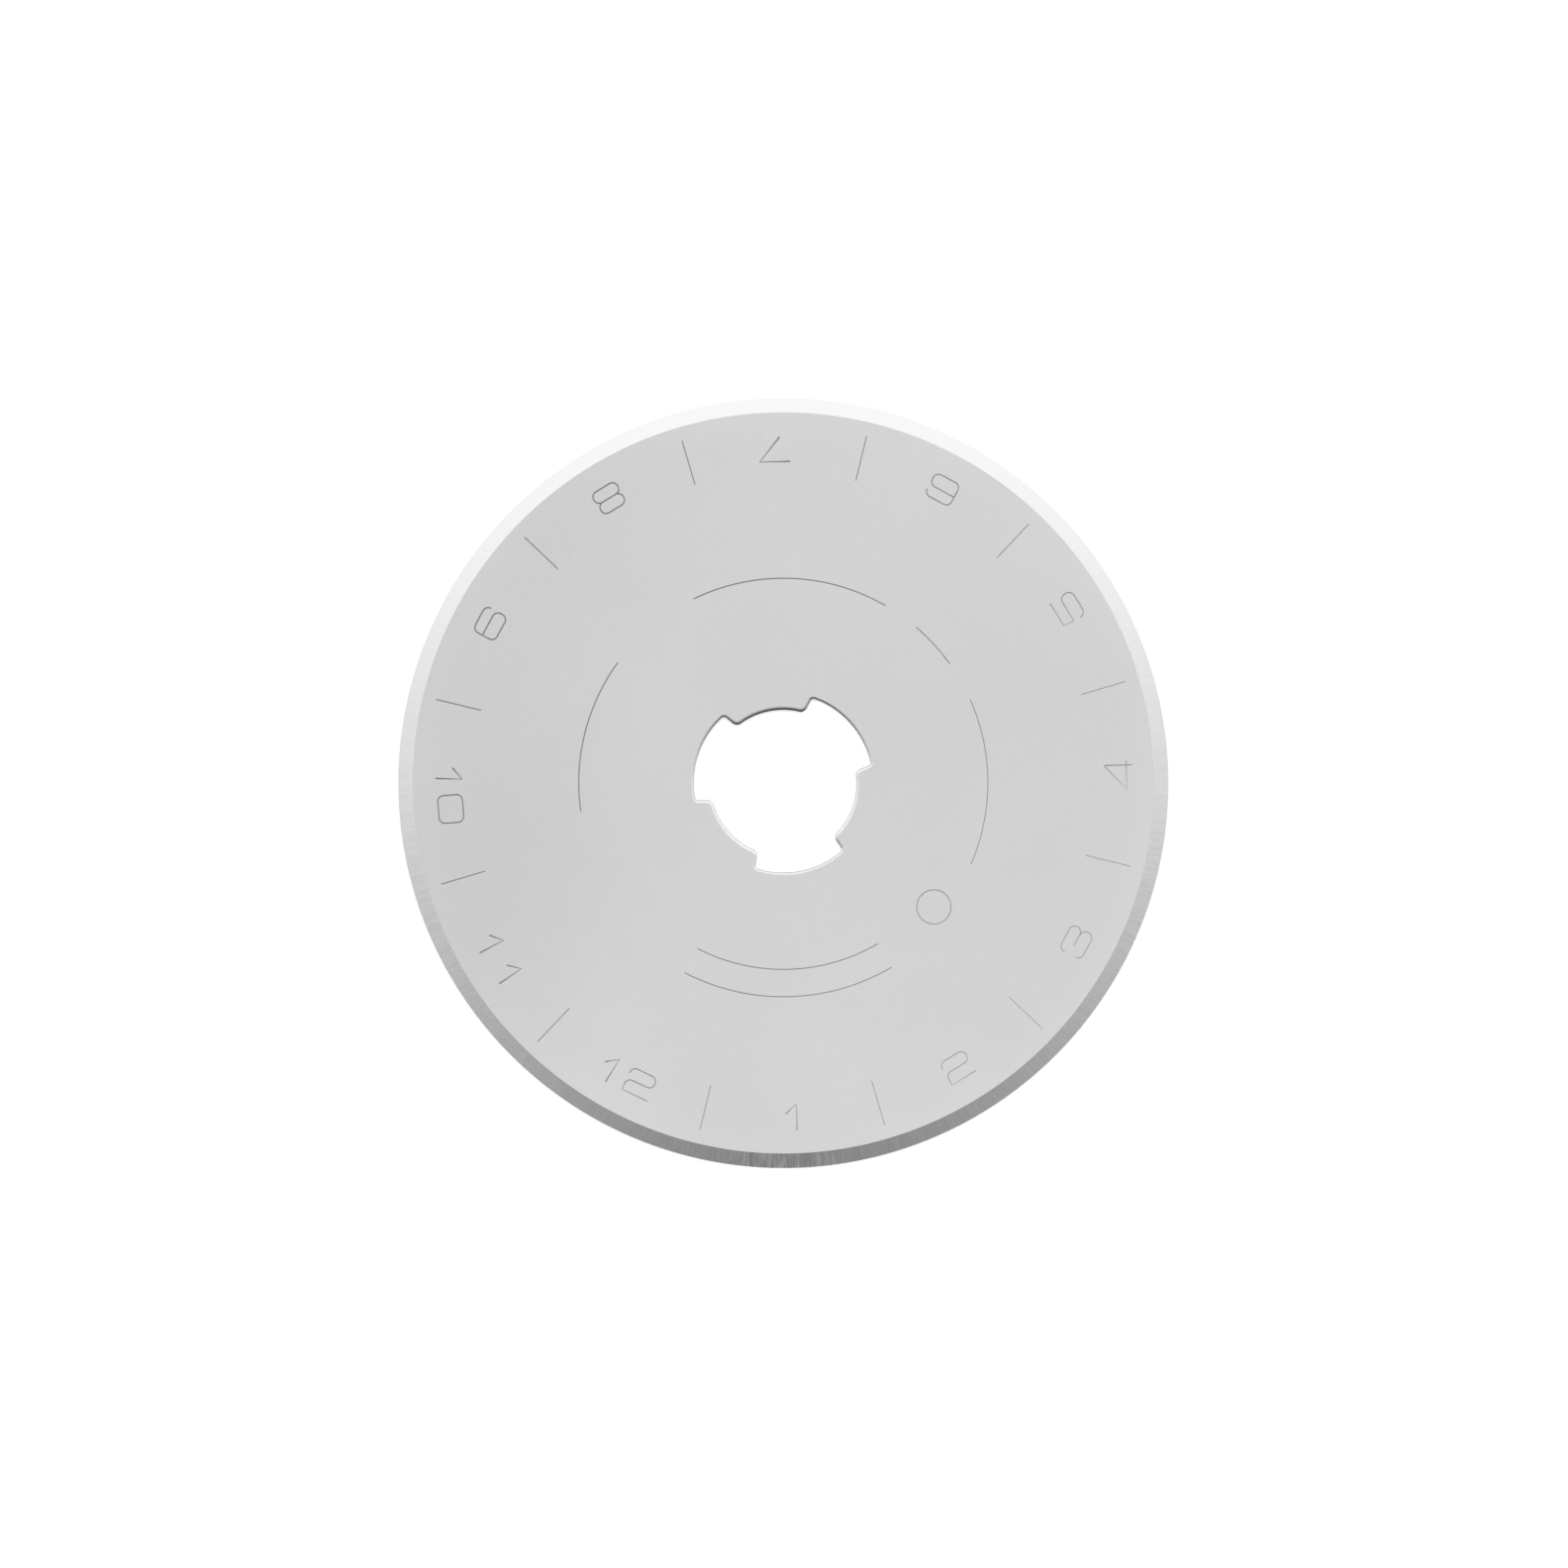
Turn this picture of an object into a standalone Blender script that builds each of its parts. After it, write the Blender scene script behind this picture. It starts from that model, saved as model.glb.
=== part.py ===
"""Blade of a 45 mm rotary cutter: one disc of hardened steel, ground to an edge all round.

The real blade is a single stamped and ground piece, so the model is one object. It lies flat with its axis
along Z and its centre at the origin, halfway through its thickness. The engraved face looks along +Z, and
the 1 of its dial is towards -Y. Lengths are in metres, and angles in degrees run counter-clockwise from +X.
"""

import math

import bmesh
import bpy
from mathutils import Matrix, Vector

MM = 0.001

WELD_DISTANCE = 0.0001 * MM

# The disc
BLADE_RADIUS = 22.5 * MM
THICKNESS = 0.3 * MM
BEVEL_WIDTH = 0.85 * MM  # of each ground bevel, measured along the face
EDGE_LAND = 0.012 * MM  # height of the honed land where the two bevels meet
RIM_STEPS = 240
FLATTEN_ANGLE = 0.05  # faces closer than this to one plane become one
SHARP_ANGLE = 5.0  # edges that turn more than this are shaded sharp

# The hub hole: a circle with lobes that let the blade over keyed hubs
HUB_RADIUS = 4.25 * MM
LOBE_RADIUS = 5.22 * MM
LOBE_COUNT = 3
FIRST_LOBE_ANGLE = -80.0
LOBE_HALF_ANGLE_INSIDE = 31.7  # half a lobe's angle at the hub circle
LOBE_HALF_ANGLE_OUTSIDE = 29.7  # half a lobe's angle at the lobe circle
STEP_NOSE_RADIUS = 0.42 * MM  # where a lobe's side meets the hub circle
STEP_ROOT_RADIUS = 0.18 * MM  # where a lobe's side meets the lobe circle
HUB_ARC_STEP = 4.5
STEP_CLEARANCE_ANGLE = 7.0  # left free of points beside each step, for its rounding
EDGE_ROLL_RADIUS = 0.38 * MM  # the top edge of the hole is drawn in by the punch, as a broad roll
EDGE_ROLL_ANGLE = 33.0  # the roll's slope where it meets the corner below
EDGE_ROLL_STEPS = 2
EDGE_CORNER_RADIUS = 0.03 * MM  # the tight corner from the roll into the wall
EDGE_CORNER_STEPS = 2
LOBE_ROLL_SHARE = 0.72  # the roll is narrower along the lobes
BURR_BREAK = 0.03 * MM  # the bottom edge is only deburred
PUNCH_CLEARANCE = 0.01 * MM  # how far the punch stands past each face

# The engraved lines, V-grooves of one size
GROOVE_WIDTH = 0.11 * MM
GROOVE_WALL_ANGLE = 22.5  # of each wall to the face, as the tool below has eight sides
TOOL_RADIUS = 0.09 * MM
CORNER_STEPS = 3

# The dial: numerals with a tick halfway between each two
NUMERAL_COUNT = 12
NUMERAL_ONE_ANGLE = -90.0
NUMERAL_RING_RADIUS = 19.49 * MM
NUMERAL_HALF_WIDTH = 0.81 * MM
NUMERAL_HALF_HEIGHT = 0.72 * MM
NUMERAL_CORNER_RADIUS = 0.34 * MM
NUMERAL_ADVANCE_ANGLE = 6.0
TICK_INNER_RADIUS = 18.15 * MM
TICK_OUTER_RADIUS = 20.85 * MM

# Plain ornament round the hub: arcs as (radius, first angle, last angle), and a small ring
ORNAMENT_ARCS = [
    (11.95 * MM, -25.0, 22.5),
    (11.95 * MM, 34.0, 48.0),
    (11.95 * MM, 58.5, 114.5),
    (11.95 * MM, 142.5, 186.5),
    (10.9 * MM, -119.0, -61.0),
    (12.5 * MM, -119.0, -61.0),
]
ORNAMENT_ARC_STEP = 4.0
ORNAMENT_RING_ANGLE = -41.0
ORNAMENT_RING_DISTANCE = 11.4 * MM
ORNAMENT_RING_RADIUS = 1.0 * MM
ORNAMENT_RING_STEPS = 20

# Numerals as strokes on a cell that runs from -1 to 1 each way. A stroke says first whether it is a closed
# loop, and a point with a third value of 1 is a rounded corner.
NUMERAL_STROKES = {
    "0": [(True, [(-1, -1, 1), (1, -1, 1), (1, 1, 1), (-1, 1, 1)])],
    "1": [(False, [(-0.46, 0.2, 0), (0.34, 1, 0), (0.34, -1.15, 0)])],
    "2": [(False, [(-1, 0.45, 0), (-1, 1, 1), (1, 1, 1), (1, 0, 1), (-1, 0, 1), (-1, -1, 0), (1, -1, 0)])],
    "3": [
        (False, [(-1, 0.5, 0), (-1, 1, 1), (1, 1, 1), (1, 0.04, 1), (-0.3, 0.04, 0)]),
        (False, [(0.5, 0.0, 0), (1, 0.0, 1), (1, -1, 1), (-1, -1, 1), (-1, -0.5, 0)]),
    ],
    "4": [
        (False, [(0.6, 1, 0), (-1.08, -0.78, 0), (0.95, -0.78, 0)]),
        (False, [(0.64, 1, 0), (0.64, -1.25, 0)]),
    ],
    "5": [
        (
            False,
            [(1, 1, 0), (-0.9, 1, 0), (-1, 0.1, 0), (1, 0.1, 1), (1, -1, 1), (-1, -1, 1), (-1, -0.5, 0)],
        ),
    ],
    "6": [
        (
            False,
            [(1, 0.5, 0), (1, 1, 1), (-1, 1, 1), (-1, -1, 1), (1, -1, 1), (1, 0.1, 1), (-0.98, 0.1, 0)],
        ),
    ],
    "7": [(False, [(-1.1, 1, 0), (1.1, 1, 0), (-0.38, -1, 0)])],
    "8": [
        (True, [(-1, -1, 1), (1, -1, 1), (1, 0, 1), (-1, 0, 1)]),
        (False, [(-0.5, 0, 0), (-0.95, 0, 1), (-0.95, 1, 1), (0.95, 1, 1), (0.95, 0, 1), (0.5, 0, 0)]),
    ],
    "9": [
        (
            False,
            [(-1, -0.5, 0), (-1, -1, 1), (1, -1, 1), (1, 1, 1), (-1, 1, 1), (-1, -0.1, 1), (0.98, -0.1, 0)],
        ),
    ],
}


def clear_scene():
    for obj in list(bpy.data.objects):
        bpy.data.objects.remove(obj)


def make_collection(name):
    collection = bpy.data.collections.new(name)
    bpy.context.scene.collection.children.link(collection)
    return collection


def make_steel():
    """Satin ground tool steel."""
    material = bpy.data.materials.new("blade_steel")
    material.use_nodes = True
    shader = material.node_tree.nodes["Principled BSDF"]
    shader.inputs["Base Color"].default_value = (0.62, 0.62, 0.62, 1.0)
    shader.inputs["Metallic"].default_value = 1.0
    shader.inputs["Roughness"].default_value = 0.32
    return material


def on_circle(radius, angle):
    return Vector((radius * math.cos(math.radians(angle)), radius * math.sin(math.radians(angle))))


def angles_between(first, last, step):
    """Evenly spaced angles from first to last, both included, about step apart."""
    count = max(1, round(abs(last - first) / step))
    return [first + (last - first) * i / count for i in range(count + 1)]


def fillet(before, corner, after, radius):
    """Points of the arc that rounds a corner between two straight runs."""
    arrive = (corner - before).normalized()
    leave = (after - corner).normalized()
    turn = arrive.angle_signed(leave)
    start = corner - arrive * radius * math.tan(abs(turn) / 2)
    towards_centre = Vector((arrive.y, -arrive.x)) * math.copysign(radius, turn)
    centre = start + towards_centre
    points = []
    for i in range(CORNER_STEPS + 1):
        spoke = -towards_centre
        spoke.rotate(Matrix.Rotation(-turn * i / CORNER_STEPS, 2))
        points.append(centre + spoke)
    return points


def rounded_path(corners, closed):
    """The points of a path. Each corner is (point, radius), and a radius of 0 leaves it sharp."""
    points = []
    count = len(corners)
    for i, (corner, radius) in enumerate(corners):
        inside = closed or 0 < i < count - 1
        if radius > 0 and inside:
            points += fillet(corners[i - 1][0], corner, corners[(i + 1) % count][0], radius)
        else:
            points.append(corner)
    return points


def make_spline(curve, points, closed):
    spline = curve.splines.new("POLY")
    spline.points.add(len(points) - 1)
    for target, point in zip(spline.points, points):
        target.co = (point.x, point.y, 0.0, 1.0)
    spline.use_cyclic_u = closed


def add_cutter(mesh, height, collection):
    """A cutter object with its origin at that height, kept out of renders."""
    cutter = bpy.data.objects.new(mesh.name, mesh)
    cutter.location.z = height
    cutter.hide_render = True
    cutter.display_type = "WIRE"
    collection.objects.link(cutter)
    return cutter


def mesh_from_curve(curve, collection):
    """A closed mesh with the shape of a curve."""
    guide = bpy.data.objects.new("guide", curve)
    collection.objects.link(guide)
    graph = bpy.context.evaluated_depsgraph_get()
    mesh = bpy.data.meshes.new_from_object(guide.evaluated_get(graph), depsgraph=graph)
    bpy.data.objects.remove(guide)
    mesh.name = curve.name

    body = bmesh.new()
    body.from_mesh(mesh)
    bmesh.ops.remove_doubles(body, verts=body.verts, dist=WELD_DISTANCE)
    bmesh.ops.recalc_face_normals(body, faces=body.faces)
    body.to_mesh(mesh)
    body.free()
    return mesh


def hub_outline():
    """The hub hole seen from above: arcs of the lobes and of the hub circle in turn, with rounded steps."""
    pitch = 360 / LOBE_COUNT
    corners = []
    for i in range(LOBE_COUNT):
        middle = FIRST_LOBE_ANGLE + i * pitch
        lobe_end = middle + LOBE_HALF_ANGLE_OUTSIDE
        hub_start = middle + LOBE_HALF_ANGLE_INSIDE
        for radius, first, last, corner_radius in (
            (LOBE_RADIUS, middle - LOBE_HALF_ANGLE_OUTSIDE, lobe_end, STEP_ROOT_RADIUS),
            (HUB_RADIUS, hub_start, middle + pitch - LOBE_HALF_ANGLE_INSIDE, STEP_NOSE_RADIUS),
        ):
            corners.append((on_circle(radius, first), corner_radius))
            inner_angles = (first + STEP_CLEARANCE_ANGLE, last - STEP_CLEARANCE_ANGLE)
            corners += [(on_circle(radius, a), 0) for a in angles_between(*inner_angles, HUB_ARC_STEP)]
            corners.append((on_circle(radius, last), corner_radius))
    return rounded_path(corners, closed=True)


def grown(points, growth):
    """The hub's outline, wound counter-clockwise, moved outwards by growth, and by less along its lobes."""
    moved = []
    for i, point in enumerate(points):
        arrive = (point - points[i - 1]).normalized()
        leave = (points[(i + 1) % len(points)] - point).normalized()
        bisector = Vector((arrive.y + leave.y, -arrive.x - leave.x)).normalized()
        side = Vector((arrive.y, -arrive.x))
        towards_lobe = (point.length - HUB_RADIUS) / (LOBE_RADIUS - HUB_RADIUS)
        share = 1 + (LOBE_ROLL_SHARE - 1) * towards_lobe
        moved.append(point + bisector * growth * share / bisector.dot(side))
    return moved


def edge_roll():
    """The upper edge of the hub hole from the face to the wall, as (drop below the face, distance inwards)."""
    points = [Vector((0.0, 0.0))]
    for radius, first, last, steps in (
        (EDGE_ROLL_RADIUS, 0.0, EDGE_ROLL_ANGLE, EDGE_ROLL_STEPS),
        (EDGE_CORNER_RADIUS, EDGE_ROLL_ANGLE, 90.0, EDGE_CORNER_STEPS),
    ):
        start = points[-1]
        for i in range(1, steps + 1):
            along = on_circle(radius, first + (last - first) * i / steps) - on_circle(radius, first)
            points.append(start + Vector((-along.x, along.y)))
    return points


def hub_wall():
    """The section of the hub hole from top to bottom, as (height, growth of the outline)."""
    roll = edge_roll()
    wall = [(THICKNESS / 2 - drop, roll[-1].y - inwards) for drop, inwards in roll]
    slope = (wall[0][1] - wall[1][1]) / (wall[0][0] - wall[1][0])
    wall[0] = (wall[0][0] + PUNCH_CLEARANCE, wall[0][1] + PUNCH_CLEARANCE * slope)
    wall.append((BURR_BREAK - THICKNESS / 2, 0.0))
    wall.append((-THICKNESS / 2 - PUNCH_CLEARANCE, BURR_BREAK + PUNCH_CLEARANCE))
    return wall


def make_hub_punch(collection):
    """The cutter of the hub hole: its outline at each height of the wall, joined up and closed."""
    outline = hub_outline()
    body = bmesh.new()
    rings = []
    for height, growth in hub_wall():
        rings.append([body.verts.new((p.x, p.y, height)) for p in grown(outline, growth)])
    for upper, lower in zip(rings, rings[1:]):
        for i in range(len(outline)):
            body.faces.new((lower[i - 1], lower[i], upper[i], upper[i - 1]))
    body.faces.new(rings[0])
    body.faces.new(reversed(rings[-1]))
    mesh = bpy.data.meshes.new("hub_punch")
    body.to_mesh(mesh)
    body.free()
    return add_cutter(mesh, 0.0, collection)


def numeral_strokes(digit, angle):
    """A digit's strokes at its place on the dial, its foot towards the rim."""
    outward = on_circle(1.0, angle)
    along = Vector((-outward.y, outward.x))
    for closed, points in NUMERAL_STROKES[digit]:
        corners = []
        for x, y, is_round in points:
            across = along * x * NUMERAL_HALF_WIDTH
            place = outward * (NUMERAL_RING_RADIUS - y * NUMERAL_HALF_HEIGHT) + across
            corners.append((place, NUMERAL_CORNER_RADIUS * is_round))
        yield closed, rounded_path(corners, closed)


def dial_strokes():
    """The strokes of every numeral and tick."""
    pitch = 360 / NUMERAL_COUNT
    for i in range(NUMERAL_COUNT):
        angle = NUMERAL_ONE_ANGLE + i * pitch
        digits = str(i + 1)
        for place, digit in enumerate(digits):
            shift = (place - (len(digits) - 1) / 2) * NUMERAL_ADVANCE_ANGLE
            yield from numeral_strokes(digit, angle + shift)
        tick = angle + pitch / 2
        yield False, [on_circle(TICK_INNER_RADIUS, tick), on_circle(TICK_OUTER_RADIUS, tick)]


def ornament_strokes():
    """The arcs and the ring round the hub."""
    for radius, first, last in ORNAMENT_ARCS:
        yield False, [on_circle(radius, a) for a in angles_between(first, last, ORNAMENT_ARC_STEP)]
    centre = on_circle(ORNAMENT_RING_DISTANCE, ORNAMENT_RING_ANGLE)
    turn = 360 / ORNAMENT_RING_STEPS
    yield True, [centre + on_circle(ORNAMENT_RING_RADIUS, i * turn) for i in range(ORNAMENT_RING_STEPS)]


def make_engraving_tool(collection):
    """The cutter of every groove: an eight-sided rod along each stroke, its lowest edge in the face."""
    depth = GROOVE_WIDTH / 2 * math.tan(math.radians(GROOVE_WALL_ANGLE))
    curve = bpy.data.curves.new("engraving_tool", "CURVE")
    curve.dimensions = "3D"
    curve.twist_mode = "Z_UP"
    curve.bevel_depth = TOOL_RADIUS
    curve.bevel_resolution = 2  # eight sides
    curve.use_fill_caps = True
    for closed, points in [*dial_strokes(), *ornament_strokes()]:
        make_spline(curve, points, closed)
    mesh = mesh_from_curve(curve, collection)
    return add_cutter(mesh, THICKNESS / 2 - depth + TOOL_RADIUS, collection)


def make_turned_disc(name, collection):
    """The disc before its hub is punched: half its section, turned about Z."""
    face_radius = BLADE_RADIUS - BEVEL_WIDTH
    section = [
        (0.0, THICKNESS / 2),
        (face_radius, THICKNESS / 2),
        (BLADE_RADIUS, EDGE_LAND / 2),
        (BLADE_RADIUS, -EDGE_LAND / 2),
        (face_radius, -THICKNESS / 2),
        (0.0, -THICKNESS / 2),
    ]
    mesh = bpy.data.meshes.new(name)
    mesh.from_pydata([(r, 0.0, z) for r, z in section], [(i, i + 1) for i in range(len(section) - 1)], [])
    disc = bpy.data.objects.new(name, mesh)
    collection.objects.link(disc)

    turn = disc.modifiers.new("turn", "SCREW")
    turn.steps = RIM_STEPS
    turn.render_steps = RIM_STEPS
    turn.use_merge_vertices = True
    turn.merge_threshold = WELD_DISTANCE

    flatten = disc.modifiers.new("one_face_each_side", "DECIMATE")
    flatten.decimate_type = "DISSOLVE"
    flatten.angle_limit = math.radians(FLATTEN_ANGLE)
    return disc


def cut(obj, cutter, overlaps_itself=False):
    modifier = obj.modifiers.new(cutter.name, "BOOLEAN")
    modifier.operation = "DIFFERENCE"
    modifier.solver = "EXACT"
    modifier.object = cutter
    modifier.use_self = overlaps_itself


def finish_surface(obj):
    """Fixes the shape that the modifiers give, and shades it smooth between its edges."""
    graph = bpy.context.evaluated_depsgraph_get()
    mesh = bpy.data.meshes.new_from_object(obj.evaluated_get(graph), depsgraph=graph)
    obj.modifiers.clear()
    obj.data = mesh
    mesh.name = obj.name
    mesh.shade_smooth()
    mesh.set_sharp_from_angle(angle=math.radians(SHARP_ANGLE))


def main():
    clear_scene()
    parts = make_collection("rotary_cutter_blade")
    cutters = make_collection("cutters")

    blade = make_turned_disc("blade", parts)
    blade.data.materials.append(make_steel())
    cut(blade, make_hub_punch(cutters))
    cut(blade, make_engraving_tool(cutters), overlaps_itself=True)
    finish_surface(blade)


main()
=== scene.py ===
"""The looks of the 45 mm rotary cutter blade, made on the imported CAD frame.

The blade is one piece of steel. Its visual piece has the CAD node's sizes, with a smoother rim and hub edge
and engraved lines with a rounded section. It has one material for each way its surfaces were made: the satin
faces, the ground bevels, the punched hub wall and the engraved lines. Lengths are in metres, in the CAD's
frame, and angles are in degrees, counter-clockwise from +X. The materials measure in millimetres.
"""

import math

import bmesh
import bpy
from mathutils import Matrix, Vector

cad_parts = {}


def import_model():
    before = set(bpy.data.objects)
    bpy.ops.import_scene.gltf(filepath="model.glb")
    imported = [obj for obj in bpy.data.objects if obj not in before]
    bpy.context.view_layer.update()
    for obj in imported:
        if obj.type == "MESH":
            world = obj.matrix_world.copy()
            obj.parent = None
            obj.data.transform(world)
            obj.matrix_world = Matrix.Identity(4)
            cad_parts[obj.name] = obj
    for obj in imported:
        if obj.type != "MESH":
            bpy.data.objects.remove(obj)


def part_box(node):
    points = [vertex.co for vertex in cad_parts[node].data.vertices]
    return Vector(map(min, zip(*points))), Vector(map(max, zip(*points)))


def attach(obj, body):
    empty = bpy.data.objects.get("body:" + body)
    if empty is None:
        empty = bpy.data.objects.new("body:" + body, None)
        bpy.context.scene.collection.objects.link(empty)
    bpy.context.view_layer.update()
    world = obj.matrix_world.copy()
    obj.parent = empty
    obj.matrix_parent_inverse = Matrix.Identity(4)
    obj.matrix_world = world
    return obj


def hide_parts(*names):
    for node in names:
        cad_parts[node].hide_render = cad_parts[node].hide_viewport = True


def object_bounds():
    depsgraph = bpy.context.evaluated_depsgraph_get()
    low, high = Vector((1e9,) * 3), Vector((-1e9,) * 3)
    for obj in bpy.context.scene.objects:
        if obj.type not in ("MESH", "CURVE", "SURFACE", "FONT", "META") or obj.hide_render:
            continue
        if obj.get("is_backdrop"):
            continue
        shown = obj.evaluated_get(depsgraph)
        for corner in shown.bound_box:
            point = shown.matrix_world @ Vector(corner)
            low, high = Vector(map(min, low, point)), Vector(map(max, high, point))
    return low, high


MM = 0.001

# The blade: sizes that the CAD has too
HUB_RADIUS = 4.25 * MM
LOBE_RADIUS = 5.22 * MM
LOBE_COUNT = 3
FIRST_LOBE_ANGLE = -80.0
LOBE_HALF_ANGLE_INSIDE = 31.7
LOBE_HALF_ANGLE_OUTSIDE = 29.7
STEP_NOSE_RADIUS = 0.42 * MM
STEP_ROOT_RADIUS = 0.18 * MM
STEP_CLEARANCE_ANGLE = 7.0
BEVEL_WIDTH = 0.85 * MM
EDGE_LAND = 0.012 * MM
EDGE_ROLL_RADIUS = 0.38 * MM
EDGE_ROLL_ANGLE = 33.0
EDGE_CORNER_RADIUS = 0.03 * MM
LOBE_ROLL_SHARE = 0.72  # the roll is narrower along the lobes
BURR_BREAK = 0.03 * MM
PUNCH_CLEARANCE = 0.01 * MM

# The dial and the ornament: sizes that the CAD has too
NUMERAL_COUNT = 12
NUMERAL_ONE_ANGLE = -90.0
NUMERAL_RING_RADIUS = 19.49 * MM
NUMERAL_HALF_WIDTH = 0.81 * MM
NUMERAL_HALF_HEIGHT = 0.72 * MM
NUMERAL_CORNER_RADIUS = 0.34 * MM
NUMERAL_ADVANCE_ANGLE = 6.0
TICK_INNER_RADIUS = 18.15 * MM
TICK_OUTER_RADIUS = 20.85 * MM
ORNAMENT_ARCS = [  # each is (radius, first angle, last angle)
    (11.95 * MM, -25.0, 22.5),
    (11.95 * MM, 34.0, 48.0),
    (11.95 * MM, 58.5, 114.5),
    (11.95 * MM, 142.5, 186.5),
    (10.9 * MM, -119.0, -61.0),
    (12.5 * MM, -119.0, -61.0),
]
ORNAMENT_RING_ANGLE = -41.0
ORNAMENT_RING_DISTANCE = 11.4 * MM
ORNAMENT_RING_RADIUS = 1.0 * MM

# Each digit's strokes, as (closed, corners). A corner is (x, y, 1 if it is rounded), and x and y are in half
# widths and half heights of the digit.
NUMERAL_STROKES = {
    "0": [(True, [(-1, -1, 1), (1, -1, 1), (1, 1, 1), (-1, 1, 1)])],
    "1": [(False, [(-0.46, 0.2, 0), (0.34, 1, 0), (0.34, -1.15, 0)])],
    "2": [(False, [(-1, 0.45, 0), (-1, 1, 1), (1, 1, 1), (1, 0, 1), (-1, 0, 1), (-1, -1, 0), (1, -1, 0)])],
    "3": [
        (False, [(-1, 0.5, 0), (-1, 1, 1), (1, 1, 1), (1, 0.04, 1), (-0.3, 0.04, 0)]),
        (False, [(0.5, 0.0, 0), (1, 0.0, 1), (1, -1, 1), (-1, -1, 1), (-1, -0.5, 0)]),
    ],
    "4": [
        (False, [(0.6, 1, 0), (-1.08, -0.78, 0), (0.95, -0.78, 0)]),
        (False, [(0.64, 1, 0), (0.64, -1.25, 0)]),
    ],
    "5": [
        (False, [(1, 1, 0), (-0.9, 1, 0), (-1, 0.1, 0), (1, 0.1, 1), (1, -1, 1), (-1, -1, 1), (-1, -0.5, 0)]),
    ],
    "6": [
        (False, [(1, 0.5, 0), (1, 1, 1), (-1, 1, 1), (-1, -1, 1), (1, -1, 1), (1, 0.1, 1), (-0.98, 0.1, 0)]),
    ],
    "7": [(False, [(-1.1, 1, 0), (1.1, 1, 0), (-0.38, -1, 0)])],
    "8": [
        (True, [(-1, -1, 1), (1, -1, 1), (1, 0, 1), (-1, 0, 1)]),
        (False, [(-0.5, 0, 0), (-0.95, 0, 1), (-0.95, 1, 1), (0.95, 1, 1), (0.95, 0, 1), (0.5, 0, 0)]),
    ],
    "9": [
        (
            False,
            [(-1, -0.5, 0), (-1, -1, 1), (1, -1, 1), (1, 1, 1), (-1, 1, 1), (-1, -0.1, 1), (0.98, -0.1, 0)],
        ),
    ],
}

# How fine the visual piece is: numbers of steps, and steps in degrees
RIM_STEPS = 720
HUB_ARC_STEP = 1.5
CORNER_STEPS = 7
EDGE_ROLL_STEPS = 5
EDGE_CORNER_STEPS = 3
ORNAMENT_ARC_STEP = 1.0
ORNAMENT_RING_STEPS = 48
SHARP_ANGLE = 40.0
FLAT_NORMAL = 0.99999  # a face whose normal is this upright is flat
WELD_DISTANCE = 0.0001 * MM

# The kinds of surface, in the order of the blade's materials
FACE, BEVEL, WALL, LINE = range(4)

# The engraved lines: the face was marked by a die that stood a little proud on one side
TOOL_RADIUS = 0.06 * MM
TOOL_RESOLUTION = 6
GROOVE_DEPTH = 0.0125 * MM  # at the blade's axis
GROOVE_LEAN = 0.0003  # how much deeper for each metre towards the deep side
GROOVE_DEEP_ANGLE = 140.0
TICK_DEPTH_SHARE = 0.7
STRAIGHT_DEPTH_SHARE = 1.4  # of the numerals' strokes without a bend
LATER_STROKE_RISE = 0.03  # how much shallower a digit's next stroke is, as a share of its depth

# The engraved lines are matt and of a darker tone, with painted shade that darkens them more towards the deep
# side, and their bottoms are uneven
LINE_PIT_SCALE = 30.0
# the lines' own darker tone, with painted shade making them darker still on the deep side
LINE_TONE_AND_PAINTED_SHADE = (0.38, 0.29)  # on the shallow side and on the deep side
LINE_SHADE_ENDS = (-20.0, 20.0)  # where those two are reached, in millimetres towards the deep side
LINE_PIT_CHANGE = 0.06
LINE_ROUGHNESS = (0.5, 0.4)
LINE_RELIEF = 0.003 * MM

# The faces are lapped, darkened on one side by painted shade and lightened on another by painted light, and a
# little lighter in a band beside the bevel
FACE_MOTTLE_SCALE = 0.06
FACE_GRAIN_SCALE = 22.0
FACE_ARC_SCALE = 9.0
FACE_ARC_CENTRE = (-70.0, 40.0, 0.0)  # in millimetres
FACE_ARC_RELIEF_SHARE = 0.6  # of the grain's relief
FACE_BRIGHTNESS = (0.634, 0.658)
FACE_ROUGHNESS = (0.27, 0.35)
FACE_RELIEF = 0.0006 * MM
GRAIN_CHANGE = 0.015
ARC_CHANGE = 0.012
# painted shade: the face is darkened towards this side
PAINTED_SHADE_ANGLE = 168.0
PAINTED_SHADE_START = (6.0, 17.0)  # the change comes in between these two, in millimetres from the axis
PAINTED_SHADE_CHANGE = -0.038
# painted light: the face is lightened towards this side
PAINTED_LIGHT_ANGLE = -90.0
PAINTED_LIGHT_START = (5.0, 20.0)
PAINTED_LIGHT_CHANGE = 0.027
# the face is made a little lighter in a band just inside the bevel
RIM_BAND_START = (19.8, 21.3)
RIM_BAND_CHANGE = 0.010

# The bevels are ground across the edge. The grinding lines' contrast is painted light: weak at the brightly
# lit top, strong at the bottom and strongest at about -92 degrees
BEVEL_COARSE_SCALE = 130.0
BEVEL_FINE_SCALE = 320.0
BEVEL_LINE_DRIFT = 0.004  # how much the lines change along the radius, for each millimetre
BEVEL_BRIGHTNESS = 0.635
BEVEL_ROUGHNESS = (0.14, 0.24)
BEVEL_RELIEF = 0.0012 * MM
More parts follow.
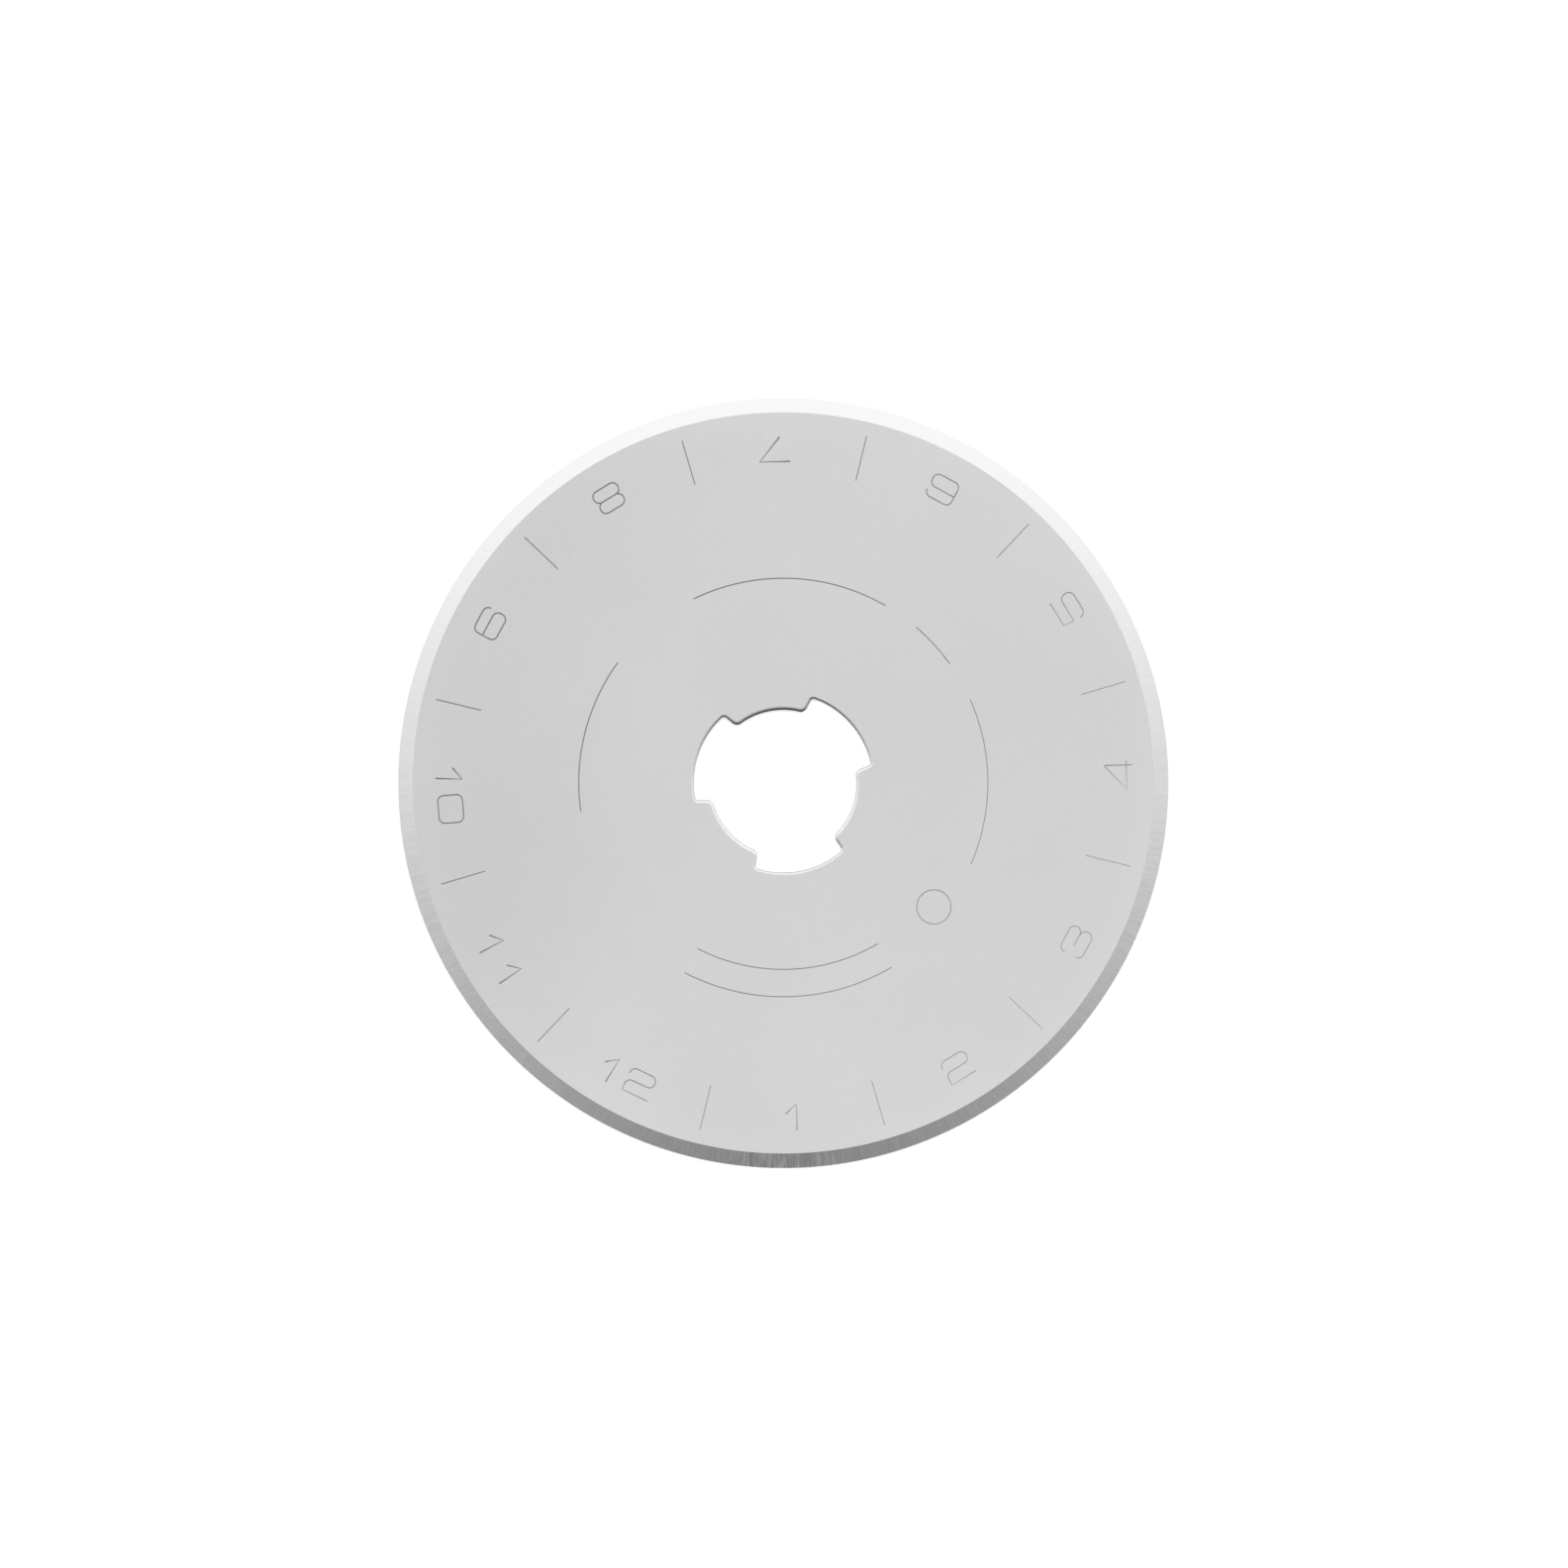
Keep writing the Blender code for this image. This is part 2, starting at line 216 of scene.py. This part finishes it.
# painted light: the lines' contrast is painted weak at the bright top and strong at the bottom, most of all
# at this angle
STRONG_LINES_ANGLE = -92.0
PAINTED_LIGHT_LINE_CONTRAST = (0.08, 0.30)  # how strong the lines are opposite that angle and at it, painted weaker on the bright side
STRONG_LINES_EXTRA = 1.1  # how much stronger they are right at that angle
STRONG_LINES_SPAN = (0.983, 0.999)  # cosines of the angles away from that angle between which the extra comes in

# The hub hole's wall is sheared, with drag lines through the thickness
PUNCH_DRAG_SCALE = 14.0
PUNCH_DRAG_STRETCH = 0.12
PUNCH_BRIGHTNESS = (0.60, 0.72)
PUNCH_ROUGHNESS = (0.34, 0.24)
PUNCH_RELIEF = 0.003 * MM

# The camera looks straight down from far off, so that the rim is a true circle
CAMERA_LENS = 1000.0
CAMERA_SENSOR = 36.0
VIEW_WIDTH = 91.61 * MM
VIEW_SHIFT_RIGHT = 0.04 * MM
VIEW_SHIFT_DOWN = 0.064 * MM
VIEW_TURN = -1.5  # degrees about the line of sight
LIGHT_TURN = 1.0  # degrees from the picture's upright to the bright side

# Light by direction: how bright it is for each value of the direction's part towards the top of the picture
RAMP_TOP = 2.0  # the brightest light that the ramps can hold
CEILING_LIGHT = [
    (-1.0, 0.04),
    (-0.5, 0.08),
    (-0.42, 0.23),
    (-0.36, 0.32),
    (-0.32, 0.41),
    (-0.28, 0.53),
    (-0.23, 0.58),
    (-0.165, 0.665),
    (-0.085, 0.80),
    (-0.04, 0.95),
    (0.0, 1.035),
    (0.04, 1.09),
    (0.085, 1.18),
    (0.165, 1.39),
    (0.24, 1.48),
    (0.30, 1.53),
    (0.36, 1.54),
    (0.46, 1.50),
    (1.0, 1.46),
]
SIDE_LIGHT = [
    (-1.0, 0.03),
    (-0.6, 0.04),
    (-0.45, 0.10),
    (-0.36, 0.30),
    (-0.3, 0.52),
    (-0.2, 0.84),
    (-0.1, 1.08),
    (0.0, 1.28),
    (0.2, 1.38),
    (0.4, 1.46),
    (1.0, 1.46),
]
WALL_LIGHT = [(-1.0, 0.70), (-0.5, 0.70), (0.0, 0.68), (0.5, 0.66), (1.0, 0.66)]
HORIZON_LIGHT = 1.1
WALL_LEAN = 0.15  # how much higher the walls reach on the bright side

# The heights of a direction, from 0 to 1, between which one kind of light gives way to the next
CEILING_BLEND = (0.84, 0.986)
WALL_BLEND = (0.38, 0.52)
HORIZON_BLEND = (0.06, 0.12)

FLOOR_SIZE = 8.0
FLOOR_GAP = 0.002 * MM
FLOOR_WHITE = (0.9, 0.9, 0.9, 1.0)
FLOOR_ROUGHNESS = 0.8
FLOOR_GLOW = 0.5


def on_circle(radius, angle):
    return Vector((radius * math.cos(math.radians(angle)), radius * math.sin(math.radians(angle))))


def angles_between(first, last, step):
    """Evenly spaced angles from first to last, both included, about step apart."""
    count = max(1, round(abs(last - first) / step))
    return [first + (last - first) * i / count for i in range(count + 1)]


def fillet(before, corner, after, radius):
    """Points of the arc that rounds a corner between two straight runs."""
    arrive = (corner - before).normalized()
    leave = (after - corner).normalized()
    turn = arrive.angle_signed(leave)
    start = corner - arrive * radius * math.tan(abs(turn) / 2)
    towards_centre = Vector((arrive.y, -arrive.x)) * math.copysign(radius, turn)
    centre = start + towards_centre
    points = []
    for i in range(CORNER_STEPS + 1):
        spoke = -towards_centre
        spoke.rotate(Matrix.Rotation(-turn * i / CORNER_STEPS, 2))
        points.append(centre + spoke)
    return points


def rounded_path(corners, closed):
    """The points of a path. Each corner is (point, radius), and a radius of 0 leaves it sharp."""
    points = []
    count = len(corners)
    for i, (corner, radius) in enumerate(corners):
        inside = closed or 0 < i < count - 1
        if radius > 0 and inside:
            points += fillet(corners[i - 1][0], corner, corners[(i + 1) % count][0], radius)
        else:
            points.append(corner)
    return points


def hub_outline():
    """The hub hole seen from above: arcs of the lobes and of the hub circle in turn, with rounded steps."""
    pitch = 360 / LOBE_COUNT
    corners = []
    for i in range(LOBE_COUNT):
        middle = FIRST_LOBE_ANGLE + i * pitch
        lobe_end = middle + LOBE_HALF_ANGLE_OUTSIDE
        hub_start = middle + LOBE_HALF_ANGLE_INSIDE
        for radius, first, last, corner_radius in (
            (LOBE_RADIUS, middle - LOBE_HALF_ANGLE_OUTSIDE, lobe_end, STEP_ROOT_RADIUS),
            (HUB_RADIUS, hub_start, middle + pitch - LOBE_HALF_ANGLE_INSIDE, STEP_NOSE_RADIUS),
        ):
            corners.append((on_circle(radius, first), corner_radius))
            inner_angles = (first + STEP_CLEARANCE_ANGLE, last - STEP_CLEARANCE_ANGLE)
            corners += [(on_circle(radius, a), 0) for a in angles_between(*inner_angles, HUB_ARC_STEP)]
            corners.append((on_circle(radius, last), corner_radius))
    return rounded_path(corners, closed=True)


def grown(points, growth):
    """The hub's outline, wound counter-clockwise, moved outwards by growth, and by less along its lobes."""
    moved = []
    for i, point in enumerate(points):
        arrive = (point - points[i - 1]).normalized()
        leave = (points[(i + 1) % len(points)] - point).normalized()
        bisector = Vector((arrive.y + leave.y, -arrive.x - leave.x)).normalized()
        side = Vector((arrive.y, -arrive.x))
        towards_lobe = (point.length - HUB_RADIUS) / (LOBE_RADIUS - HUB_RADIUS)
        share = 1 + (LOBE_ROLL_SHARE - 1) * towards_lobe
        moved.append(point + bisector * growth * share / bisector.dot(side))
    return moved


def edge_roll():
    """The hub hole's upper edge from the face to the wall, as (drop below the face, distance inwards)."""
    points = [Vector((0.0, 0.0))]
    for radius, first, last, steps in (
        (EDGE_ROLL_RADIUS, 0.0, EDGE_ROLL_ANGLE, EDGE_ROLL_STEPS),
        (EDGE_CORNER_RADIUS, EDGE_ROLL_ANGLE, 90.0, EDGE_CORNER_STEPS),
    ):
        start = points[-1]
        for i in range(1, steps + 1):
            along = on_circle(radius, first + (last - first) * i / steps) - on_circle(radius, first)
            points.append(start + Vector((-along.x, along.y)))
    return points


def hub_wall(thickness):
    """The section of the hub hole from top to bottom, as (height, growth of the outline)."""
    roll = edge_roll()
    wall = [(thickness / 2 - drop, roll[-1].y - inwards) for drop, inwards in roll]
    slope = (wall[0][1] - wall[1][1]) / (wall[0][0] - wall[1][0])
    wall[0] = (wall[0][0] + PUNCH_CLEARANCE, wall[0][1] + PUNCH_CLEARANCE * slope)
    wall.append((BURR_BREAK - thickness / 2, 0.0))
    wall.append((-thickness / 2 - PUNCH_CLEARANCE, BURR_BREAK + PUNCH_CLEARANCE))
    return wall


def loft(name, rings):
    """A closed mesh through rings of points from top to bottom, each ring counter-clockwise."""
    body = bmesh.new()
    made = [[body.verts.new(point) for point in ring] for ring in rings]
    for upper, lower in zip(made, made[1:]):
        for i in range(len(upper)):
            body.faces.new((lower[i - 1], lower[i], upper[i], upper[i - 1]))
    body.faces.new(made[0])
    body.faces.new(reversed(made[-1]))
    mesh = bpy.data.meshes.new(name)
    body.to_mesh(mesh)
    body.free()
    return mesh


def add_object(name, data):
    obj = bpy.data.objects.new(name, data)
    bpy.context.scene.collection.objects.link(obj)
    return obj


def disc_mesh(radius, thickness):
    """The ground disc before it is punched and marked."""
    rings = []
    for r, z in (
        (radius - BEVEL_WIDTH, thickness / 2),
        (radius, EDGE_LAND / 2),
        (radius, -EDGE_LAND / 2),
        (radius - BEVEL_WIDTH, -thickness / 2),
    ):
        rings.append([(*on_circle(r, 360 * i / RIM_STEPS), z) for i in range(RIM_STEPS)])
    return loft("ground_blade", rings)


def numeral_strokes(digit, angle):
    """A digit's strokes at its place on the dial, its foot towards the rim."""
    outward = on_circle(1.0, angle)
    along = Vector((-outward.y, outward.x))
    for closed, points in NUMERAL_STROKES[digit]:
        corners = []
        for x, y, is_round in points:
            across = along * x * NUMERAL_HALF_WIDTH
            place = outward * (NUMERAL_RING_RADIUS - y * NUMERAL_HALF_HEIGHT) + across
            corners.append((place, NUMERAL_CORNER_RADIUS * is_round))
        yield closed, rounded_path(corners, closed)


def dial_strokes():
    """The strokes of every numeral and tick, as (share of the groove's depth, closed, points)."""
    pitch = 360 / NUMERAL_COUNT
    for i in range(NUMERAL_COUNT):
        angle = NUMERAL_ONE_ANGLE + i * pitch
        digits = str(i + 1)
        for place, digit in enumerate(digits):
            shift = (place - (len(digits) - 1) / 2) * NUMERAL_ADVANCE_ANGLE
            for order, (closed, points) in enumerate(numeral_strokes(digit, angle + shift)):
                is_straight = len(points) <= 3  # a rounded bend would add more
                share = STRAIGHT_DEPTH_SHARE if is_straight else 1.0
                yield share * (1 - LATER_STROKE_RISE * order), closed, points
        tick = angle + pitch / 2
        ends = [on_circle(TICK_INNER_RADIUS, tick), on_circle(TICK_OUTER_RADIUS, tick)]
        yield TICK_DEPTH_SHARE, False, ends


def ornament_strokes():
    """The arcs and the ring round the hub, as (share of the groove's depth, closed, points)."""
    for radius, first, last in ORNAMENT_ARCS:
        yield 1.0, False, [on_circle(radius, a) for a in angles_between(first, last, ORNAMENT_ARC_STEP)]
    centre = on_circle(ORNAMENT_RING_DISTANCE, ORNAMENT_RING_ANGLE)
    turn = 360 / ORNAMENT_RING_STEPS
    ring = [centre + on_circle(ORNAMENT_RING_RADIUS, i * turn) for i in range(ORNAMENT_RING_STEPS)]
    yield 1.0, True, ring


def engraving_tool(face_height):
    """The cutter of every groove: a round rod along each stroke, deeper on one side of the blade."""
    lean = on_circle(GROOVE_LEAN, GROOVE_DEEP_ANGLE)
    curve = bpy.data.curves.new("engraving_tool", "CURVE")
    curve.dimensions = "3D"
    curve.twist_mode = "Z_UP"
    curve.bevel_depth = TOOL_RADIUS
    curve.bevel_resolution = TOOL_RESOLUTION
    curve.use_fill_caps = True
    for share, closed, points in [*dial_strokes(), *ornament_strokes()]:
        spline = curve.splines.new("POLY")
        spline.points.add(len(points) - 1)
        for target, point in zip(spline.points, points):
            depth = (GROOVE_DEPTH + lean.dot(point)) * share
            target.co = (point.x, point.y, face_height - depth + TOOL_RADIUS, 1.0)
        spline.use_cyclic_u = closed
    guide = add_object("engraving_guide", curve)
    graph = bpy.context.evaluated_depsgraph_get()
    mesh = bpy.data.meshes.new_from_object(guide.evaluated_get(graph), depsgraph=graph)
    bpy.data.objects.remove(guide)

    body = bmesh.new()
    body.from_mesh(mesh)
    bmesh.ops.remove_doubles(body, verts=body.verts, dist=WELD_DISTANCE)
    bmesh.ops.recalc_face_normals(body, faces=body.faces)
    body.to_mesh(mesh)
    body.free()
    return mesh


def cut(obj, mesh, overlaps_itself=False):
    """Takes a closed mesh out of an object for good."""
    cutter = add_object("cutter", mesh)
    modifier = obj.modifiers.new("cut", "BOOLEAN")
    modifier.operation = "DIFFERENCE"
    modifier.solver = "EXACT"
    modifier.object = cutter
    modifier.use_self = overlaps_itself
    graph = bpy.context.evaluated_depsgraph_get()
    obj.data = bpy.data.meshes.new_from_object(obj.evaluated_get(graph), depsgraph=graph)
    obj.modifiers.clear()
    bpy.data.objects.remove(cutter)


def make_blade(low, high):
    """The visual blade, in the CAD blade's box, with a material index for each kind of surface."""
    radius = (high.x - low.x) / 2
    thickness = high.z - low.z
    blade = add_object("ground_blade", disc_mesh(radius, thickness))
    outline = hub_outline()
    rings = [[(p.x, p.y, height) for p in grown(outline, growth)] for height, growth in hub_wall(thickness)]
    cut(blade, loft("hub_punch", rings))
    cut(blade, engraving_tool(high.z), overlaps_itself=True)

    face_radius = radius - BEVEL_WIDTH
    hub_reach = LOBE_RADIUS + EDGE_ROLL_RADIUS
    blade.data.set_sharp_from_angle(angle=math.radians(SHARP_ANGLE))
    for polygon in blade.data.polygons:
        distance = polygon.center.to_2d().length
        is_flat = abs(polygon.normal.z) > FLAT_NORMAL
        if is_flat:
            kind = FACE
        elif distance > face_radius:
            kind = BEVEL
        elif distance < hub_reach:
            kind = WALL
        else:
            kind = LINE
        polygon.material_index = kind
        polygon.use_smooth = not is_flat
    return blade


class Nodes:
    """Adds and joins the nodes of one tree."""

    def __init__(self, tree):
        self.tree = tree
        tree.nodes.clear()

    def add(self, kind, inputs=(), **settings):
        node = self.tree.nodes.new(kind)
        for name, value in settings.items():
            setattr(node, name, value)
        for name, value in dict(inputs).items():
            self.give(node.inputs[name], value)
        return node

    def give(self, socket, value):
        if isinstance(value, bpy.types.NodeSocket):
            self.tree.links.new(value, socket)
        else:
            socket.default_value = value

    def maths(self, operation, *values):
        node = self.add("ShaderNodeMath", operation=operation)
        for socket, value in zip(node.inputs, values):
            self.give(socket, value)
        return node.outputs[0]

    def vector(self, operation, *values):
        node = self.add("ShaderNodeVectorMath", operation=operation)
        for socket, value in zip(node.inputs, values):
            self.give(socket, value)
        output = "Value" if operation in ("DOT_PRODUCT", "LENGTH") else "Vector"
        return node.outputs[output]

    def remap(self, value, span, results, smooth=False):
        """The value taken from the span's two ends to the two results."""
        inputs = {
            "Value": value,
            "From Min": span[0],
            "From Max": span[1],
            "To Min": results[0],
            "To Max": results[1],
        }
        kind = "SMOOTHSTEP" if smooth else "LINEAR"
        return self.add("ShaderNodeMapRange", inputs, interpolation_type=kind).outputs["Result"]

    def noise(self, vector, scale, detail=2.0, roughness=0.5):
        inputs = {"Vector": vector, "Scale": scale, "Detail": detail, "Roughness": roughness}
        return self.add("ShaderNodeTexNoise", inputs).outputs["Fac"]

    def ramp(self, value, stops):
        """A curve through (input, output) stops, for inputs from -1 to 1 and outputs from 0 to RAMP_TOP."""
        node = self.add("ShaderNodeValToRGB", {"Fac": self.remap(value, (-1, 1), (0, 1))})
        ramp = node.color_ramp
        ramp.interpolation = "CARDINAL"
        while len(ramp.elements) > 1:
            ramp.elements.remove(ramp.elements[-1])
        for i, (place, output) in enumerate(stops):
            position = (place + 1) / 2
            element = ramp.elements[0] if i == 0 else ramp.elements.new(position)
            element.position = position
            grey = output / RAMP_TOP
            element.color = (grey, grey, grey, 1.0)
        return self.maths("MULTIPLY", node.outputs["Color"], RAMP_TOP)


def new_material(name):
    material = bpy.data.materials.new(name)
    material.use_nodes = True
    return material, Nodes(material.node_tree)


def millimetres(nodes):
    """The place on the object, in millimetres."""
    place = nodes.add("ShaderNodeTexCoord").outputs["Object"]
    return nodes.vector("MULTIPLY", place, (1000, 1000, 1000))


def towards(nodes, place, angle):
    """How far a place lies from the axis in the direction of that angle."""
    return nodes.vector("DOT_PRODUCT", place, (*on_circle(1.0, angle), 0.0))


def finish_steel(nodes, brightness, roughness, height, relief):
    """Bare steel with that brightness and roughness, and bumps of that relief, as the tree's output."""
    colour = nodes.add("ShaderNodeCombineColor", {"Red": brightness, "Green": brightness, "Blue": brightness})
    bump = nodes.add("ShaderNodeBump", {"Strength": 1.0, "Distance": relief, "Height": height})
    shader = nodes.add(
        "ShaderNodeBsdfPrincipled",
        {
            "Base Color": colour.outputs["Color"],
            "Metallic": 1.0,
            "Roughness": roughness,
            "Normal": bump.outputs["Normal"],
        },
    )
    nodes.add("ShaderNodeOutputMaterial", {"Surface": shader.outputs["BSDF"]})


def satin_face():
    """The flat faces: a fine lapped grain with faint arcs from surface grinding, soft mottling, a lighter
    band beside the bevel, and painted shade on one side and painted light on another.
    """
    material, nodes = new_material("satin_face")
    place = millimetres(nodes)
    mottle = nodes.noise(place, FACE_MOTTLE_SCALE, 3.0)
    grain = nodes.noise(place, FACE_GRAIN_SCALE, 2.0, 0.6)
    off_centre = nodes.vector("SUBTRACT", place, FACE_ARC_CENTRE)
    distance = nodes.vector("LENGTH", off_centre)
    arcs = nodes.add(
        "ShaderNodeTexNoise",
        {"W": distance, "Scale": FACE_ARC_SCALE, "Detail": 4.0, "Roughness": 0.7},
        noise_dimensions="1D",
    ).outputs["Fac"]
    height = nodes.maths("ADD", nodes.maths("MULTIPLY", arcs, FACE_ARC_RELIEF_SHARE), grain)
    brightness = nodes.remap(mottle, (0.35, 0.65), FACE_BRIGHTNESS)
    towards_painted_shade = towards(nodes, place, PAINTED_SHADE_ANGLE)
    towards_painted_light = towards(nodes, place, PAINTED_LIGHT_ANGLE)
    from_axis = nodes.vector("LENGTH", place)
    # painted shade darkens the face towards one side and painted light lightens it towards another; the
    # mottle, grain and arcs are the face's own tone
    for change in (
        nodes.remap(towards_painted_shade, PAINTED_SHADE_START, (0, PAINTED_SHADE_CHANGE), smooth=True),
        nodes.remap(towards_painted_light, PAINTED_LIGHT_START, (0, PAINTED_LIGHT_CHANGE), smooth=True),
        nodes.remap(from_axis, RIM_BAND_START, (0, RIM_BAND_CHANGE), smooth=True),
        nodes.remap(grain, (0.2, 0.8), (-GRAIN_CHANGE, GRAIN_CHANGE)),
        nodes.remap(arcs, (0.2, 0.8), (-ARC_CHANGE, ARC_CHANGE)),
    ):
        brightness = nodes.maths("ADD", brightness, change)
    roughness = nodes.remap(grain, (0.25, 0.75), FACE_ROUGHNESS)
    finish_steel(nodes, brightness, roughness, height, FACE_RELIEF)
    return material


def ground_bevel():
    """The bevels: fine striations along the radius, where the wheel crossed the edge."""
    material, nodes = new_material("ground_bevel")
    place = millimetres(nodes)
    flat_place = nodes.vector("MULTIPLY", place, (1, 1, 0))
    around = nodes.vector("NORMALIZE", flat_place)
    radius = nodes.vector("LENGTH", flat_place)
    drift = nodes.maths("MULTIPLY", radius, BEVEL_LINE_DRIFT)
    drift_vector = nodes.add("ShaderNodeCombineXYZ", {"Z": drift}).outputs["Vector"]
    path = nodes.vector("ADD", around, drift_vector)
    coarse = nodes.noise(path, BEVEL_COARSE_SCALE, 2.0, 0.6)
    fine = nodes.noise(path, BEVEL_FINE_SCALE, 3.0, 0.7)
    lines = nodes.maths("ADD", nodes.maths("MULTIPLY", coarse, 0.5), nodes.maths("MULTIPLY", fine, 0.5))
    # painted light: the lines' colour contrast is weak towards the bright top and strong towards the bottom,
    # with more still at about -92 degrees
    towards_strong_lines = towards(nodes, around, STRONG_LINES_ANGLE)
    extra_contrast = nodes.remap(towards_strong_lines, STRONG_LINES_SPAN, (0, STRONG_LINES_EXTRA), smooth=True)
    painted_line_contrast = nodes.maths("ADD", nodes.remap(towards_strong_lines, (-1, 1), PAINTED_LIGHT_LINE_CONTRAST), extra_contrast)
    swing = nodes.maths("MULTIPLY", nodes.maths("SUBTRACT", lines, 0.5), painted_line_contrast)
    brightness = nodes.maths("ADD", swing, BEVEL_BRIGHTNESS)
    roughness = nodes.remap(lines, (0.35, 0.65), BEVEL_ROUGHNESS)
    finish_steel(nodes, brightness, roughness, lines, BEVEL_RELIEF)
    return material


def punched_wall():
    """The wall of the hub hole: bright where it was sheared, with drag lines through the thickness."""
    material, nodes = new_material("punched_wall")
    place = millimetres(nodes)
    stretched = nodes.vector("MULTIPLY", place, (1, 1, PUNCH_DRAG_STRETCH))
    drag = nodes.noise(stretched, PUNCH_DRAG_SCALE, 3.0, 0.6)
    brightness = nodes.remap(drag, (0.3, 0.7), PUNCH_BRIGHTNESS)
    roughness = nodes.remap(drag, (0.3, 0.7), PUNCH_ROUGHNESS)
    finish_steel(nodes, brightness, roughness, drag, PUNCH_RELIEF)
    return material


def engraved_line():
    """The engraved lines: matt and of a darker tone, with painted shade towards the deep side, and an uneven
    bottom.
    """
    material, nodes = new_material("engraved_line")
    place = millimetres(nodes)
    pits = nodes.noise(place, LINE_PIT_SCALE, 3.0, 0.65)
    towards_shaded_side = towards(nodes, place, GROOVE_DEEP_ANGLE)
    pit_change = nodes.remap(pits, (0.3, 0.7), (-LINE_PIT_CHANGE, LINE_PIT_CHANGE))
    # painted shade: the lines darken towards the deep side, on top of their own darker tone
    brightness = nodes.maths("ADD", nodes.remap(towards_shaded_side, LINE_SHADE_ENDS, LINE_TONE_AND_PAINTED_SHADE), pit_change)
    roughness = nodes.remap(pits, (0.3, 0.7), LINE_ROUGHNESS)
    finish_steel(nodes, brightness, roughness, pits, LINE_RELIEF)
    return material


def make_floor(height):
    """The plain white table."""
    half = FLOOR_SIZE / 2
    mesh = bpy.data.meshes.new("floor")
    corners = [(-half, -half, 0), (half, -half, 0), (half, half, 0), (-half, half, 0)]
    mesh.from_pydata(corners, [], [(0, 1, 2, 3)])
    floor = add_object("floor", mesh)
    floor.location.z = height
    material, nodes = new_material("white_table")
    shader = nodes.add(
        "ShaderNodeBsdfPrincipled",
        {
            "Base Color": FLOOR_WHITE,
            "Roughness": FLOOR_ROUGHNESS,
            "Emission Color": FLOOR_WHITE,
            "Emission Strength": FLOOR_GLOW,
        },
    )
    nodes.add("ShaderNodeOutputMaterial", {"Surface": shader.outputs["BSDF"]})
    mesh.materials.append(material)
    floor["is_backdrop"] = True


def make_studio(bright_side):
    """Soft light from all round: brighter on one side, and flagged off on the other."""
    world = bpy.data.worlds.new("studio")
    world.use_nodes = True
    bpy.context.scene.world = world
    nodes = Nodes(world.node_tree)
    direction = nodes.add("ShaderNodeTexCoord").outputs["Generated"]
    along = nodes.vector("DOT_PRODUCT", direction, (*bright_side, 0.0))
    height = nodes.add("ShaderNodeSeparateXYZ", {"Vector": direction}).outputs["Z"]
    leaning_height = nodes.maths("SUBTRACT", height, nodes.maths("MULTIPLY", along, WALL_LEAN))
    is_ceiling = nodes.remap(height, CEILING_BLEND, (0, 1), smooth=True)
    is_wall = nodes.remap(leaning_height, WALL_BLEND, (1, 0), smooth=True)
    is_horizon = nodes.remap(height, HORIZON_BLEND, (1, 0), smooth=True)
    light = nodes.ramp(along, SIDE_LIGHT)
    light = nodes.remap(is_ceiling, (0, 1), (light, nodes.ramp(along, CEILING_LIGHT)))
    light = nodes.remap(is_wall, (0, 1), (light, nodes.ramp(along, WALL_LIGHT)))
    light = nodes.remap(is_horizon, (0, 1), (light, HORIZON_LIGHT))
    background = nodes.add("ShaderNodeBackground", {"Color": light, "Strength": 1.0})
    nodes.add("ShaderNodeOutputWorld", {"Surface": background.outputs["Background"]})


def make_camera(picture_up):
    camera = bpy.data.cameras.new("camera")
    camera.lens = CAMERA_LENS
    camera.sensor_width = CAMERA_SENSOR
    obj = add_object("camera", camera)
    right = Vector((picture_up.y, -picture_up.x))
    place = right * VIEW_SHIFT_RIGHT - picture_up * VIEW_SHIFT_DOWN
    distance = CAMERA_LENS / CAMERA_SENSOR * VIEW_WIDTH
    obj.location = (place.x, place.y, distance)
    obj.rotation_euler.z = math.radians(VIEW_TURN)
    camera.clip_start = distance / 100
    camera.clip_end = distance * 10
    bpy.context.scene.camera = obj


def main():
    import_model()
    low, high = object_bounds()

    blade = make_blade(*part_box("blade"))
    for material in (satin_face(), ground_bevel(), punched_wall(), engraved_line()):
        blade.data.materials.append(material)
    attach(blade, "root")
    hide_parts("blade")

    picture_up = on_circle(1.0, 90 + VIEW_TURN)
    make_floor(low.z - FLOOR_GAP)
    make_studio(on_circle(1.0, 90 + VIEW_TURN + LIGHT_TURN))
    make_camera(picture_up)
    bpy.context.scene.view_settings.view_transform = "Standard"

    low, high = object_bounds()


main()
